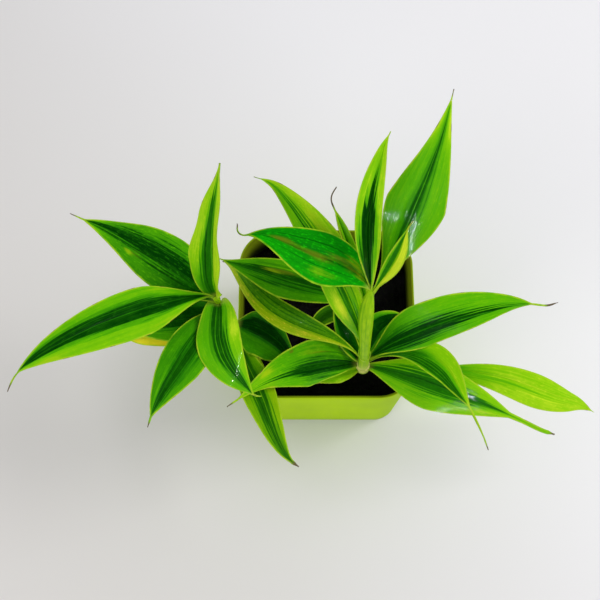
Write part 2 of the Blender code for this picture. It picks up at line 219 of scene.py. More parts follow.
LEAVES = (
    # Left shoot, crown
    leaf("left_spear", LEFT, 198, 86, 83, 37, 93, 27, sway=-10, hook=6, fold=36, roll=-40, skew=0.23,
         belly=0.29, neck=0.15, swell=1.2, blunt=2.0, drip=0.01, tail=1.5),
    leaf("left_back", LEFT, 188, 144, 37, -5, 102, 34, sway=20, hook=-11, bow=2, fold=8, roll=5,
         phase=0.2, skew=0.02, neck=0.14, swell=1.6, blunt=1.6),
    leaf("left_long", LEFT, 199, -167, 31, -28, 136, 27, sway=27, hook=24, bow=5, fold=12, roll=-16,
         phase=0.5, skew=0.07, neck=0.05, swell=2.3, blunt=2.0, tail=1.4),
    leaf("left_front", LEFT, 174, -129, 40, -35, 91, 26, sway=22, hook=-2, bow=7, roll=-6, phase=0.1,
         skew=0.05, belly=0.46, neck=0.13, swell=1.7, blunt=1.9, drip=0.06, tail=2.2),
    leaf("left_inner", LEFT, 188, -83, 30, -52, 74, 27, sway=40, hook=55, bow=-12, roll=19, phase=0.7,
         skew=-0.02, belly=0.49, neck=0.16, swell=0.5, blunt=1.4, tail=1.5),
    # Left shoot, lower leaves
    leaf("left_shaded", LEFT, 166, -167, 28, -55, 74, 30, sway=-15, hook=-33, phase=0.3, neck=0.4),
    leaf("left_yellow", LEFT, 147, -163, 10, -57, 90, 17, sway=-41, hook=-19, phase=0.6),
    leaf("left_blunt", LEFT, 128, -86, 23, -25, 99, 21, sway=45, hook=11, bow=12, fold=14, roll=10,
         phase=0.4, skew=-0.1, belly=0.44, neck=0.14, swell=1.6, drip=0.01, tail=5.0),
    leaf("left_low", LEFT, 142, -7, -13, -48, 59, 31, sway=-67, hook=40, bow=-2, fold=8, roll=-13,
         phase=0.8, belly=0.28, neck=0.05, swell=1.2),
    # Right shoot, crown
    leaf("crown_west", RIGHT, 213, 126, 39, -17, 92, 29, sway=88, hook=-118, bow=19, fold=6, roll=-14,
         phase=0.1, skew=0.15, belly=0.45, neck=0.08, swell=1.2, blunt=1.5, drip=0.12),
    leaf("crown_north", RIGHT, 211, 98, 62, 29, 95, 16, sway=-25, hook=-11, bow=6, fold=40, roll=-1,
         wave=0.6, phase=0.4, skew=0.03, belly=0.45, neck=0.14, blunt=2.4, drip=0.01),
    leaf("crown_broad", RIGHT, 205, 54, 46, 31, 125, 33, sway=26, hook=-3, bow=2, fold=8, roll=14,
         phase=0.9, skew=-0.03, belly=0.52, neck=0.05, swell=3.0, blunt=1.1, drip=0.03),
    leaf("crown_fold", RIGHT, 208, 50, 59, 65, 62, 11, sway=5, hook=-21, bow=-13, fold=42, roll=1,
         wave=0.5, phase=0.2, skew=-0.04, belly=0.55, neck=0.11, swell=2.1, blunt=1.9, drip=0.1),
    leaf("crown_rolled", RIGHT, 192, 109, 42, 36, 81, 10, sway=12, hook=-70, fold=60, roll=6, wave=0.4,
         phase=0.5, belly=0.47, neck=0.14, swell=1.6, blunt=3.0, drip=0.16, tail=0.9),
    # Right shoot, leaves between crown and whorl
    leaf("middle_north", RIGHT, 150, 115, 79, -10, 146, 26, sway=22, hook=21, bow=3, fold=14, roll=-16,
         phase=0.3, skew=-0.05, neck=0.1, swell=2.5, blunt=2.0, drip=0.02),
    leaf("middle_west", RIGHT, 152, 76, 28, -13, 123, 24, sway=91, turn=0.4, hook=-11, bow=6, roll=-6,
         phase=0.6, skew=0.06, belly=0.65, neck=0.07, swell=2.7, blunt=1.4, drip=0.03),
    leaf("young_upper", RIGHT, 122, 140, 58, 6, 50, 12, sway=-44, fold=12, phase=0.2, belly=0.45,
         drip=0.04),
    leaf("narrow_west", RIGHT, 122, 134, 57, -63, 158, 16, sway=20, hook=-21, bow=29, roll=-22,
         phase=0.8, belly=0.45, neck=0.05, swell=2.8, blunt=1.6, drip=0.03),
    leaf("young_lower", RIGHT, 104, 87, 34, -40, 78, 13, sway=157, hook=-2, bow=-17, fold=12, roll=4,
         phase=0.5, belly=0.66, neck=0.14, swell=1.6, drip=0.02),
    # Right shoot, lower whorl
    leaf("whorl_upper", RIGHT, 122, 34, 49, -35, 148, 28, sway=-46, hook=38, bow=-7, fold=8, roll=26,
         wave=1.8, phase=0.1, skew=0.09, neck=0.05, swell=2.4, blunt=1.9, drip=0.15, tail=1.8),
    leaf("whorl_front", RIGHT, 106, -20, 29, -30, 140, 32, sway=-3, hook=13, bow=-3, roll=23, phase=0.7,
         belly=0.47, neck=0.1, swell=1.8, blunt=1.5, drip=0.22, tail=5.5),
    leaf("whorl_bent", RIGHT, 112, 26, 48, -12, 122, 19, sway=-91, turn=0.6, hook=-7, fold=14, roll=26,
         phase=0.4, skew=-0.04, belly=0.62, neck=0.05, swell=3.0, blunt=1.8, drip=0.22, tail=1.7),
    leaf("whorl_long", RIGHT, 91, -25, 26, -36, 174, 22, sway=38, hook=-31, bow=15, fold=8, roll=13,
         phase=0.2, skew=-0.11, belly=0.7, neck=0.05, swell=3.8, blunt=1.8, drip=0.01),
    leaf("whorl_west", RIGHT, 114, -180, 50, -6, 106, 30, sway=51, hook=-14, bow=5, roll=-33, wave=1.8,
         phase=0.5, skew=-0.08, belly=0.49, neck=0.05, blunt=1.1, drip=0.06, tail=2.0),
    leaf("whorl_young", RIGHT, 104, -150, 30, -21, 36, 9, sway=-22, hook=-8, bow=-1, phase=0.1,
         belly=0.47, neck=0.14, swell=1.6, blunt=1.9),
    leaf("whorl_short", RIGHT, 124, 91, 42, -11, 52, 18, sway=-116, phase=0.9, belly=0.45, neck=0.14,
         swell=1.6, blunt=2.0),
)

# Tones run from 0, the darkest green, over 1 mid green, 2 lime and 3 yellow green to 4, yellow.
# right, left: tone of each margin, as seen along the leaf from its base
# core: tone of the centre band
# centre, band: middle and half width of the band, as shares of the half blade
# drift: how far the band's middle moves to the left along the leaf
# taper: how far the band narrows toward the tip
# start, stop: where the band begins and ends along the leaf
# flame: how far the band breaks up into streaks
# lines: thin lines, each with its place across, half width and change of tone
# spots: soft blotches, each with its place along and across, its sizes and its change of tone
# glow: crisp yellow green patches, each with its place along and across, its sizes and its strength
# rust: brown blotches, given in the same way
# mottle: strength of the small light flecks
# tint: factor on red, green and blue
# dry: share of the leaf that is dried brown at the tip
# pale: share of the leaf that is cream at the base
PLAIN_MARKS = {
    "right": 1.9,
    "left": 1.9,
    "core": 0.2,
    "centre": 0.0,
    "band": 0.36,
    "drift": 0.0,
    "taper": 0.0,
    "start": -0.2,
    "stop": 1.05,
    "flame": 0.5,
    "lines": (),
    "spots": (),
    "glow": (),
    "rust": (),
    "mottle": 0.2,
    "tint": (1.0, 1.0, 1.0),
    "dry": 0.05,
    "pale": 0.06,
}

MARKS = {
    "left_spear": {
        "right": 3.3, "left": 3.2, "core": 0.7, "centre": 0.14, "band": 0.24, "drift": -0.4,
        "lines": ((0.3, 0.03, -0.7), (0.05, 0.03, 1.2)),
        "spots": ((0.12, 0.6, 0.14, 0.5, -1.7),),
        "dry": 0.015,
    },
    "left_back": {
        "right": 1.6, "left": 1.4, "core": 0.05, "centre": -0.08, "band": 0.34, "flame": 1.0,
        "lines": ((-0.02, 0.03, -0.5), (-0.3, 0.03, 0.3)),
        "spots": ((0.15, 0.5, 0.18, 0.6, -1.3), (0.87, 0.8, 0.1, 0.4, 1.2), (0.85, -0.8, 0.08, 0.3, 0.9)),
        "glow": ((0.6, 0.55, 0.04, 0.14, 0.55),),
        "rust": ((0.55, 0.4, 0.06, 0.2, 0.4),),
        "mottle": 0.5,
    },
    "left_long": {
        "right": 2.25, "left": 2.55, "core": 0.1, "centre": -0.08, "band": 0.37, "drift": -0.25,
        "flame": 0.35,
        "lines": ((-0.02, 0.03, 0.7), (-0.3, 0.025, 0.5)),
        "spots": ((0.84, -0.5, 0.08, 0.5, -0.9),),
        "glow": ((0.3, 0.85, 0.15, 0.15, 0.5), (0.75, 0.8, 0.1, 0.25, 0.6), (0.3, -0.85, 0.1, 0.12, 0.5)),
        "rust": ((0.36, -1.0, 0.015, 0.06, 1.0), (0.5, -1.0, 0.02, 0.06, 1.0), (0.64, -1.0, 0.015, 0.06, 1.0)),
        "dry": 0.05,
    },
    "left_front": {
        "right": 1.35, "left": 1.55, "core": 0.25, "centre": 0.12, "band": 0.3, "flame": 0.6,
        "lines": ((0.0, 0.03, 0.6), (0.3, 0.03, 0.5)),
        "spots": ((0.75, -0.35, 0.12, 0.12, 0.7), (0.97, 0.0, 0.05, 1.5, 1.4)),
    },
    "left_inner": {
        "right": 2.1, "left": 2.6, "core": 0.3, "centre": 0.06, "band": 0.36, "drift": 0.3, "taper": 0.3,
        "lines": ((-0.12, 0.025, 1.3), (0.08, 0.025, 1.1), (0.24, 0.02, 0.9)),
        "spots": ((0.3, 0.75, 0.14, 0.25, 0.8), (0.35, -0.1, 0.25, 0.2, -0.6)),
        "dry": 0.0,
    },
    "left_shaded": {"right": 0.7, "left": 1.6, "core": 0.1},
    "left_yellow": {"right": 3.7, "left": 3.9, "core": 3.6, "tint": (1.1, 0.8, 0.5), "pale": 0.0, "dry": 0.0},
    "left_blunt": {
        "right": 2.2, "left": 2.5, "core": 0.7, "centre": -0.05, "band": 0.36, "flame": 0.8, "tint": (1.3, 0.86, 1.0),
        "lines": ((-0.2, 0.03, -0.5), (0.0, 0.03, 1.3), (0.2, 0.03, -0.5)),
        "spots": ((0.92, 0.0, 0.12, 1.5, -1.5), (0.3, 0.0, 0.12, 1.2, -0.9)),
        "dry": 0.06,
    },
    "left_low": {
        "right": 1.35, "left": 1.45, "core": 0.0, "centre": 0.26, "band": 0.36, "flame": 0.35,
        "lines": ((0.2, 0.03, 0.3),),
    },
    "crown_west": {
        "right": 1.3, "left": 1.5, "core": 1.1, "band": 0.2, "tint": (0.06, 0.95, 1.0), "flame": 0.5,
        "lines": ((-0.42, 0.03, -0.8), (0.14, 0.03, -0.9), (0.42, 0.02, -0.6)),
        "spots": ((0.18, -0.3, 0.1, 0.4, 0.5), (0.75, 0.4, 0.1, 0.4, 0.4)),
        "glow": (
            (0.38, 0.6, 0.13, 0.28, 0.38), (0.2, -0.3, 0.1, 0.3, 0.5), (0.12, 0.15, 0.07, 0.3, 0.5),
            (0.86, -0.2, 0.08, 0.4, 0.4),
        ),
        "rust": (
            (0.66, 0.0, 0.09, 0.2, 0.75), (0.44, 0.14, 0.13, 0.17, 0.65), (0.3, -0.08, 0.1, 0.14, 0.6),
            (0.2, 0.1, 0.07, 0.2, 0.5),
        ),
        "mottle": 0.9,
    },
    "crown_north": {
        "right": 3.1, "left": 2.7, "core": 0.05, "centre": 0.02, "band": 0.7, "drift": -0.5, "taper": 0.5,
        "stop": 0.78, "flame": 0.7,
        "spots": ((0.2, 0.8, 0.2, 0.5, -1.6), (0.6, 0.5, 0.2, 0.2, 0.5)),
        "lines": ((-0.1, 0.03, 0.3),),
        "dry": 0.0,
    },
    "crown_broad": {
        "right": 2.1, "left": 2.0, "core": 0.3, "band": 0.25, "drift": -0.15, "taper": 0.85, "flame": 0.12,
        "lines": ((0.0, 0.022, 1.3), (-0.26, 0.02, -0.6)),
        "spots": ((0.87, 0.8, 0.1, 0.4, 1.2), (0.87, -0.8, 0.1, 0.4, 1.5)),
        "rust": ((0.83, -0.95, 0.015, 0.1, 0.9),),
        "dry": 0.03,
    },
    "crown_fold": {
        "right": 3.8, "left": 2.9, "core": 0.9, "centre": 0.38, "band": 0.3,
        "lines": ((0.1, 0.04, 1.2),),
        "dry": 0.02,
    },
    "crown_rolled": {
        "right": 2.2, "left": 2.6, "core": 1.4, "band": 0.2, "rust": ((0.55, 0.75, 0.25, 0.3, 1.0),), "dry": 0.16,
    },
    "middle_north": {
        "right": 3.1, "left": 2.3, "core": 1.0, "centre": 0.1, "band": 0.14,
        "lines": ((0.32, 0.04, -1.4), (-0.22, 0.03, -1.2), (0.06, 0.04, 2.2)),
        "glow": ((0.7, -0.5, 0.2, 0.3, 0.5),),
        "spots": ((0.34, 0.6, 0.09, 0.3, 1.6), (0.1, 0.1, 0.1, 0.3, -0.8)),
        "dry": 0.02,
    },
    "middle_west": {
        "right": 1.8, "left": 1.5, "core": 0.3, "centre": 0.0, "band": 0.3, "flame": 0.8,
        "lines": ((0.1, 0.03, 0.8), (-0.45, 0.04, 0.8)),
        "glow": ((0.7, -0.2, 0.08, 0.16, 0.6),),
        "rust": ((0.64, -0.3, 0.1, 0.14, 0.7),),
        "dry": 0.01,
    },
    "young_upper": {"right": 0.3, "left": 1.2, "core": 0.0, "band": 0.5, "dry": 0.0, "pale": 0.12},
    "narrow_west": {
        "right": 1.4, "left": 3.1, "core": 1.6, "centre": 0.0, "band": 0.24, "tint": (1.2, 0.84, 1.0),
        "lines": ((-0.55, 0.05, -0.6), (-0.25, 0.05, -0.5), (0.18, 0.04, -0.8)),
        "mottle": 0.5,
    },
    "young_lower": {"right": 1.0, "left": 1.2, "core": 0.4, "band": 0.4, "tint": (1.5, 0.75, 1.0)},
    "whorl_upper": {
        "right": 2.0, "left": 2.1, "core": 0.05, "centre": -0.16, "band": 0.55, "taper": 0.9, "stop": 0.72,
        "flame": 1.0,
        "lines": ((-0.36, 0.05, -1.1), (0.12, 0.03, -0.9), (-0.12, 0.03, 0.8)),
        "spots": ((0.14, 0.0, 0.12, 1.5, -1.2),),
        "dry": 0.1,
    },
    "whorl_front": {
        "right": 2.4, "left": 2.8, "core": 0.7, "centre": 0.05, "band": 0.36, "stop": 0.76, "flame": 0.8,
        "lines": ((-0.2, 0.03, 0.7), (0.1, 0.03, -0.5)),
        "spots": ((0.62, -0.6, 0.15, 0.4, 0.7),),
        "dry": 0.04,
    },
    "whorl_bent": {
        "right": 2.6, "left": 2.95, "core": 0.5, "centre": -0.52, "band": 0.3, "flame": 0.3,
        "lines": ((-0.66, 0.03, 0.8), (-0.48, 0.03, 0.9), (-0.32, 0.03, 0.7)),
        "spots": ((0.38, 0.0, 0.1, 0.35, -1.6),),
        "dry": 0.04,
    },
    "whorl_long": {
        "right": 3.15, "left": 3.1, "core": 2.1, "centre": -0.2, "band": 0.3, "stop": 0.6, "flame": 0.9,
        "lines": ((-0.4, 0.03, 0.4), (0.1, 0.03, 0.4), (0.5, 0.03, -0.4)),
        "spots": ((0.36, 0.0, 0.1, 1.5, -1.5),),
        "dry": 0.0,
    },
    "whorl_west": {
        "right": 1.85, "left": 1.95, "core": 0.2, "centre": 0.15, "band": 0.5, "taper": 0.6, "stop": 0.7,
        "flame": 1.0,
        "lines": ((0.3, 0.05, -0.6), (0.0, 0.03, 0.5)),
        "spots": ((0.75, 0.0, 0.1, 1.5, 0.7), (0.93, 0.0, 0.08, 1.5, 1.2)),
        "glow": ((0.72, -0.6, 0.06, 0.3, 0.8), (0.72, 0.9, 0.05, 0.15, 0.8), (0.42, -0.6, 0.12, 0.25, 0.5)),
        "rust": ((0.55, -0.85, 0.015, 0.1, 0.9),),
        "mottle": 0.3,
        "pale": 0.09,
    },
    "whorl_young": {
        "right": 3.3, "left": 3.1, "core": 2.7, "spots": ((0.65, 0.0, 0.06, 0.6, -1.5),), "dry": 0.0,
    },
    "whorl_short": {"right": 1.8, "left": 1.6, "core": 0.0, "band": 0.5, "spots": ((0.75, 0.5, 0.1, 1.0, 1.2),)},
}
GLOSSY_LEAVES = ("left_inner", "crown_north", "crown_broad", "middle_north", "whorl_front")
SATIN_COAT = 0.03
GLOSSY_COAT = 0.25
LINE_SLOTS = 3
NO_LINE = (0.0, 0.01, 0.0)


# Numbers

def smoothstep(x):
    """Ease from 0 to 1."""
    x = np.clip(x, 0.0, 1.0)
    return x * x * (3.0 - 2.0 * x)


def bump_at(x, middle, reach):
    """Soft bell of height 1."""
    return np.exp(-((x - middle) / reach) ** 2)


# Meshes

def mesh_object(name, points, faces, surface):
    """Smooth mesh from points in millimetres."""
    mesh = bpy.data.meshes.new(name)
    mesh.from_pydata((np.asarray(points) * MM).tolist(), [], faces)
    mesh.update()
    mesh.materials.append(surface)
    mesh.shade_smooth()
    mesh.set_sharp_from_angle(angle=np.radians(SHARP_ANGLE))
    made = bpy.data.objects.new(name, mesh)
    bpy.context.scene.collection.objects.link(made)
    return made


def add_values(item, name, values):
    """Store one number or one vector for each point of a mesh."""
    values = np.asarray(values, np.float32)
    if values.ndim == 1:
        item.data.attributes.new(name, "FLOAT", "POINT").data.foreach_set("value", values)
    else:
        item.data.attributes.new(name, "FLOAT_VECTOR", "POINT").data.foreach_set("vector", values.ravel())


def settle(item, node):
    """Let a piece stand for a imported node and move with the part."""
    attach(item, "root")
    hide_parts(node)


def rounded_square(width, corner, height):
    """Ring of points of a square with round corners."""
    reach = width / 2 - corner
    ring = []
    for start, sx, sy in ((0, 1, 1), (90, -1, 1), (180, -1, -1), (270, 1, -1)):
        for step in range(CORNER_STEPS + 1):
            turn = np.radians(start + 90 * step / CORNER_STEPS)
            ring.append((sx * reach + corner * np.cos(turn), sy * reach + corner * np.sin(turn), height))
        turn = np.radians(start + 90)
        last = np.array(ring[-1])
        across = np.array([-np.sin(turn), np.cos(turn), 0.0]) * 0
        following = np.array((
            (1, 1), (-1, 1), (-1, -1), (1, -1)
        )[(start // 90 + 1) % 4]) * reach
        ahead = np.array([following[0] + corner * np.cos(turn), following[1] + corner * np.sin(turn), height])
        for step in range(1, SIDE_STEPS):
            ring.append(tuple(last + (ahead - last) * step / SIDE_STEPS + across))
    return np.array(ring)


def disc(centre, radius, sides):
    """Level ring of points round a centre."""
    turn = np.linspace(0.0, 2 * np.pi, sides, endpoint=False)
    x = centre[0] + radius * np.cos(turn)
    y = centre[1] + radius * np.sin(turn)
    return np.stack([x, y, np.full(sides, centre[2])], 1)


def stacked(rings):
    """Closed body from rings of equal count, with one face over each end."""
    points = np.concatenate(rings)
    count = len(rings[0])
    faces = []
    for level in range(len(rings) - 1):
        low = level * count
        for k in range(count):
            after = (k + 1) % count
            faces.append((low + k, low + after, low + count + after, low + count + k))
    last = (len(rings) - 1) * count
    faces.append(tuple(range(count))[::-1])
    faces.append(tuple(range(last, last + count)))
    return points, faces


# Materials

def node(tree, kind, inputs=(), **settings):
    """Add a node, set its options, and fill its inputs with numbers or other nodes' outputs."""
    made = tree.nodes.new(kind)
    for key, value in settings.items():
        setattr(made, key, value)
    for key, value in dict(inputs).items():
        if isinstance(value, bpy.types.NodeSocket):
            tree.links.new(value, made.inputs[key])
        else:
            made.inputs[key].default_value = value
    return made


def calculate(tree, operation, *values):
    """Output of a math node."""
    return node(tree, "ShaderNodeMath", enumerate(values), operation=operation).outputs[0]


def scaled(tree, vector, factors):
    """Vector multiplied by three factors."""
    made = node(tree, "ShaderNodeVectorMath", {0: vector, 1: factors}, operation="MULTIPLY")
    return made.outputs[0]


def noise_at(tree, vector, scale=1.0, detail=2.0, roughness=0.5):
    """Soft noise between 0 and 1."""
    inputs = {"Vector": vector, "Scale": scale, "Detail": detail, "Roughness": roughness}
    return node(tree, "ShaderNodeTexNoise", inputs).outputs["Fac"]


def stretch(tree, value, low, high, start=0.0, end=1.0):
    """Map a range onto another with soft ends."""
    inputs = {"Value": value, "From Min": low, "From Max": high, "To Min": start, "To Max": end}
    return node(tree, "ShaderNodeMapRange", inputs, interpolation_type="SMOOTHSTEP").outputs[0]


def blend(tree, factor, first, second, mode="MIX"):
    """Mix of two colours."""
    made = node(tree, "ShaderNodeMix", {0: factor, 6: first, 7: second}, data_type="RGBA", blend_type=mode)
    return made.outputs[2]


def ramp(tree, factor, stops):
    """Colour from a ramp of (place, colour) stops."""
    made = node(tree, "ShaderNodeValToRGB", {0: factor})
    elements = made.color_ramp.elements
    while len(elements) < len(stops):
        elements.new(0.5)
    for element, (place, color) in zip(elements, stops):
        element.position = place
        element.color = (*color, 1.0)
    return made.outputs[0]


def stored(tree, name, output="Fac"):
    """Value stored in the mesh under a name."""
    return node(tree, "ShaderNodeAttribute", attribute_name=name).outputs[output]


def new_material(name):
    """Material with only a Principled BSDF and its output."""
    made = bpy.data.materials.new(name)
    made.use_nodes = True
    return made, made.node_tree, made.node_tree.nodes["Principled BSDF"]


LEAF_TONES = (
    (0.0, (0.000, 0.043, 0.000)),
    (0.25, (0.018, 0.195, 0.001)),
    (0.5, (0.090, 0.42, 0.001)),
    (0.75, (0.24, 0.58, 0.002)),
    (1.0, (0.70, 0.84, 0.03)),
)
EDGE_YELLOW = (0.40, 0.60, 0.02, 1.0)
EDGE_BROWN = (0.12, 0.075, 0.03, 1.0)
BASE_CREAM = (0.52, 0.64, 0.07, 1.0)
SHEATH_CREAM = (0.74, 0.72, 0.22, 1.0)
STEM_GREEN = (0.05, 0.27, 0.002, 1.0)
UNDER_GREEN = (0.14, 0.30, 0.04, 1.0)
GLOW_LIME = (0.38, 0.58, 0.005, 1.0)
RUST_BROWN = (0.13, 0.19, 0.005, 1.0)


def line_tone(tree, slot, across):
    """Change of tone along one thin line of the leaf."""
    middle, reach, change = node(tree, "ShaderNodeSeparateXYZ", {0: stored(tree, f"leaf_line_{slot}", "Vector")}).outputs
    away = calculate(tree, "ABSOLUTE", calculate(tree, "SUBTRACT", across, middle))
    wide = calculate(tree, "MULTIPLY", reach, 1.5)
    return calculate(tree, "MULTIPLY", stretch(tree, away, wide, 0.0), change)


def leaf_tone(tree, place, streak, fine, mottle):
    """Tone of the leaf: margins, a ragged centre band, thin lines, flecks and cloudiness."""
    across = node(tree, "ShaderNodeSeparateXYZ", {0: stored(tree, "leaf_share", "Vector")}).outputs[1]
    wobble = noise_at(tree, scaled(tree, place, (0.0, 0.05, 1.0)))
    across = calculate(tree, "MULTIPLY_ADD", calculate(tree, "SUBTRACT", wobble, 0.5), 0.1, across)
    ragged = calculate(tree, "MULTIPLY", calculate(tree, "SUBTRACT", streak, 0.5), stored(tree, "leaf_flame"))
    depth = calculate(tree, "MULTIPLY_ADD", ragged, 1.5, stored(tree, "leaf_band"))
    inner = stretch(tree, depth, -0.04, 0.05, 0.0, 0.65)
    outer = stretch(tree, depth, -0.22, -0.10, 0.0, 0.35)
    margin = stored(tree, "leaf_tone")
    darker = calculate(tree, "SUBTRACT", stored(tree, "leaf_core"), margin)
    tone = calculate(tree, "MULTIPLY_ADD", darker, calculate(tree, "ADD", inner, outer), margin)
    for slot in range(LINE_SLOTS):
        tone = calculate(tree, "ADD", tone, line_tone(tree, slot, across))
    flecks = noise_at(tree, scaled(tree, place, (0.9, 0.3, 1.0)), detail=3.0, roughness=0.6)
    flecks = calculate(tree, "MULTIPLY", stretch(tree, flecks, 0.52, 0.7), stored(tree, "leaf_mottle"))
    tone = calculate(tree, "MULTIPLY_ADD", flecks, 1.4, tone)
    for grain, share in ((streak, 0.7), (fine, 0.5), (mottle, 0.6)):
        tone = calculate(tree, "MULTIPLY_ADD", calculate(tree, "SUBTRACT", grain, 0.5), share, tone)
    return tone


def patch(tree, name, streak, mottle):
    """Streaky, irregular patch where a stored strength is high."""
    strength = stored(tree, name)
    grain = calculate(tree, "MULTIPLY_ADD", mottle, 0.8, calculate(tree, "MULTIPLY", streak, 1.2))
    rough = calculate(tree, "ADD", calculate(tree, "SUBTRACT", grain, 1.0), strength)
    inside = stretch(tree, rough, 0.15, 0.65, 0.0, 0.85)
    return calculate(tree, "MULTIPLY", inside, stretch(tree, strength, 0.0, 0.8))


def leaf_material(name, coat):
    """Striped leaf: tones broken into streaks that run along the blade, under a thin waxy coat."""
    made, tree, shader = new_material(name)
    under = node(tree, "ShaderNodeSeparateXYZ", {0: stored(tree, "leaf_share", "Vector")}).outputs[2]
    place = stored(tree, "leaf_place", "Vector")
    streak = noise_at(tree, scaled(tree, place, (0.75, 0.018, 1.0)))
    fine = noise_at(tree, scaled(tree, place, (1.9, 0.035, 1.0)))
    mottle = noise_at(tree, scaled(tree, place, (0.2, 0.1, 1.0)), detail=4.0)
    tone = leaf_tone(tree, place, streak, fine, mottle)
    color = ramp(tree, calculate(tree, "DIVIDE", tone, 4.0), LEAF_TONES)
    color = blend(tree, 1.0, color, stored(tree, "leaf_tint", "Vector"), "MULTIPLY")
    color = blend(tree, patch(tree, "leaf_glow", streak, mottle), color, GLOW_LIME)
    color = blend(tree, patch(tree, "leaf_rust", streak, mottle), color, RUST_BROWN)
    color = blend(tree, stored(tree, "leaf_pale"), color, BASE_CREAM)
    inward = stored(tree, "leaf_edge")
    wander = noise_at(tree, scaled(tree, place, (0.0, 0.11, 1.0)))
    hem = calculate(tree, "MULTIPLY", stretch(tree, inward, 1.1, 0.4), stretch(tree, wander, 0.35, 0.6, 0.3, 0.95))
    color = blend(tree, hem, color, EDGE_YELLOW)
    scorch = calculate(tree, "MULTIPLY", stretch(tree, inward, 0.4, 0.1), stretch(tree, wander, 0.58, 0.68))
    color = blend(tree, scorch, color, EDGE_BROWN)
    color = blend(tree, calculate(tree, "MULTIPLY", under, 0.4), color, UNDER_GREEN)
    dry = stored(tree, "leaf_dry")
    husk = ramp(tree, fine, ((0.3, (0.045, 0.030, 0.018)), (0.7, (0.21, 0.16, 0.085))))
    color = blend(tree, dry, color, husk)
    tree.links.new(color, shader.inputs["Base Color"])
    gloss = calculate(tree, "MULTIPLY_ADD", mottle, 0.2, 0.3)
    gloss = calculate(tree, "MULTIPLY_ADD", dry, 0.35, gloss)
    tree.links.new(gloss, shader.inputs["Roughness"])
    shader.inputs["Specular IOR Level"].default_value = 0.03
    shader.inputs["Coat Weight"].default_value = coat
    shader.inputs["Coat Roughness"].default_value = 0.06
    relief = calculate(tree, "MULTIPLY_ADD", streak, 1.4, fine)
    relief = calculate(tree, "MULTIPLY_ADD", mottle, 0.8, relief)
    bump = node(tree, "ShaderNodeBump", {"Height": relief, "Strength": 0.35, "Distance": 0.4 * MM})
    tree.links.new(bump.outputs[0], shader.inputs["Normal"])
    tree.links.new(bump.outputs[0], shader.inputs["Coat Normal"])
    return made


def stem_material():
    """Green cane with pale sheaths, brown node scars and lengthwise fibres."""
    made, tree, shader = new_material("green_cane")
    place = stored(tree, "stem_place", "Vector")
    fibre = noise_at(tree, scaled(tree, place, (2.2, 0.12, 1.0)), detail=3.0)
    blotch = noise_at(tree, scaled(tree, place, (0.3, 0.2, 1.0)))
    mixed = calculate(tree, "MULTIPLY_ADD", blotch, 0.35, calculate(tree, "MULTIPLY", fibre, 0.65))
    color = ramp(tree, mixed, ((0.3, (0.13, 0.38, 0.002)), (0.5, (0.28, 0.53, 0.004)), (0.75, (0.42, 0.64, 0.01))))
    color = blend(tree, stored(tree, "stem_shade"), color, STEM_GREEN)
    color = blend(tree, stored(tree, "stem_pale"), color, SHEATH_CREAM)
    scar = calculate(tree, "MULTIPLY", stored(tree, "stem_scar"), stretch(tree, blotch, 0.3, 0.6, 0.1, 0.6))
    color = blend(tree, scar, color, (0.13, 0.12, 0.02, 1.0))
    tree.links.new(color, shader.inputs["Base Color"])
    tree.links.new(calculate(tree, "MULTIPLY_ADD", fibre, 0.25, 0.3), shader.inputs["Roughness"])
    shader.inputs["Specular IOR Level"].default_value = 0.06
    bump = node(tree, "ShaderNodeBump", {"Height": fibre, "Strength": 0.2, "Distance": 0.3 * MM})
    tree.links.new(bump.outputs[0], shader.inputs["Normal"])
    return made


def pot_material():
    """Lime plastic, slightly cloudy, with faint flow marks, a dusty foot and painted shade inside the pot."""
    made, tree, shader = new_material("lime_plastic")
    place = node(tree, "ShaderNodeTexCoord").outputs["Object"]
    cloud = noise_at(tree, place, scale=22.0, detail=3.0)
    flow = noise_at(tree, scaled(tree, place, (60.0, 60.0, 9.0)), detail=3.0)
    grain = noise_at(tree, place, scale=1400.0, detail=2.0)
    mixed = calculate(tree, "MULTIPLY_ADD", flow, 0.35, calculate(tree, "MULTIPLY", cloud, 0.65))
    color = ramp(tree, mixed, ((0.3, (0.37, 0.60, 0.001)), (0.7, (0.46, 0.71, 0.002))))
    height = node(tree, "ShaderNodeSeparateXYZ", {0: place}).outputs[2]
    # Painted shade inside the pot: olive at the rim, near black down by the soil.
    painted_shade = blend(tree, stretch(tree, height, 78 * MM, 98 * MM), (0.010, 0.013, 0.002, 1.0), (0.17, 0.23, 0.006, 1.0))
    color = blend(tree, stored(tree, "pot_painted_shade"), color, painted_shade)
    dust = calculate(tree, "MULTIPLY", stretch(tree, height, 12 * MM, 0.0, 0.0, 0.5), cloud)
    color = blend(tree, dust, color, (0.34, 0.34, 0.20, 1.0))
    tree.links.new(color, shader.inputs["Base Color"])
    gloss = calculate(tree, "MULTIPLY_ADD", cloud, 0.16, 0.4)
    tree.links.new(calculate(tree, "ADD", gloss, calculate(tree, "MULTIPLY", dust, 0.4)), shader.inputs["Roughness"])
    shader.inputs["Specular IOR Level"].default_value = 0.02
    relief = calculate(tree, "MULTIPLY_ADD", grain, 0.3, cloud)
    bump = node(tree, "ShaderNodeBump", {"Height": relief, "Strength": 0.12, "Distance": 0.4 * MM})
    tree.links.new(bump.outputs[0], shader.inputs["Normal"])
    return made


